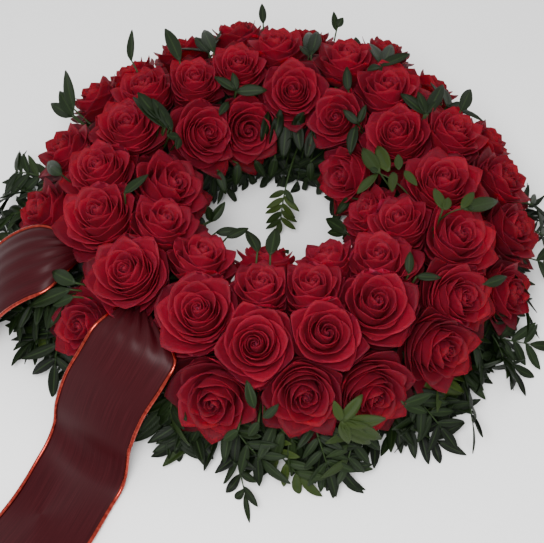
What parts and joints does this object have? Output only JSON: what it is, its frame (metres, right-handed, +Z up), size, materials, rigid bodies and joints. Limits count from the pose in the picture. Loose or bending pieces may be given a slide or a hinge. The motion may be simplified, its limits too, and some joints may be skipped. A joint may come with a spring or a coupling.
{
  "type": "rose wreath",
  "caption": "Round wreath of tightly set red roses and leaf sprigs on a foam ring, lying flat, with two wired satin ribbon tails.",
  "frame": {"origin": "middle of the underside of the box round the whole part, ribbon tails included", "axes": "+Z up from the table, -Y towards the viewer, +X to the viewer's right"},
  "size_m": [0.7994, 0.7602, 0.1392],
  "materials": {
    "tray": "dark green moulded plastic",
    "foam": "wet floral foam, dull",
    "petal": "velvety deep red petal",
    "leaf": "leathery dark green leaf, slight gloss",
    "ribbon": "burgundy satin with copper wired edges"
  },
  "bodies": {
    "root": {"backing_tray": "tray", "foam_ring": "foam", "rose_01": "petal", "rose_02": "petal", "rose_03": "petal", "rose_04": "petal", "rose_05": "petal", "rose_06": "petal", "rose_07": "petal", "rose_08": "petal", "rose_09": "petal", "rose_10": "petal", "rose_11": "petal", "rose_12": "petal", "rose_13": "petal", "rose_14": "petal", "rose_15": "petal", "rose_16": "petal", "rose_17": "petal", "rose_18": "petal", "rose_19": "petal", "rose_20": "petal", "rose_21": "petal", "rose_22": "petal", "rose_23": "petal", "rose_24": "petal", "rose_25": "petal", "rose_26": "petal", "rose_27": "petal", "rose_28": "petal", "rose_29": "petal", "rose_30": "petal", "rose_31": "petal", "rose_32": "petal", "rose_33": "petal", "rose_34": "petal", "rose_35": "petal", "rose_36": "petal", "rose_37": "petal", "rose_38": "petal", "rose_39": "petal", "rose_40": "petal", "rose_41": "petal", "rose_42": "petal", "rose_43": "petal", "rose_44": "petal", "rose_45": "petal", "rose_46": "petal", "rose_47": "petal", "rose_48": "petal", "rose_49": "petal", "rose_50": "petal", "greenery_1": "leaf", "greenery_2": "leaf", "greenery_3": "leaf", "greenery_4": "leaf", "greenery_5": "leaf", "greenery_6": "leaf", "ribbon_tail_front": "ribbon", "ribbon_tail_left": "ribbon"}
  },
  "joints": []
}
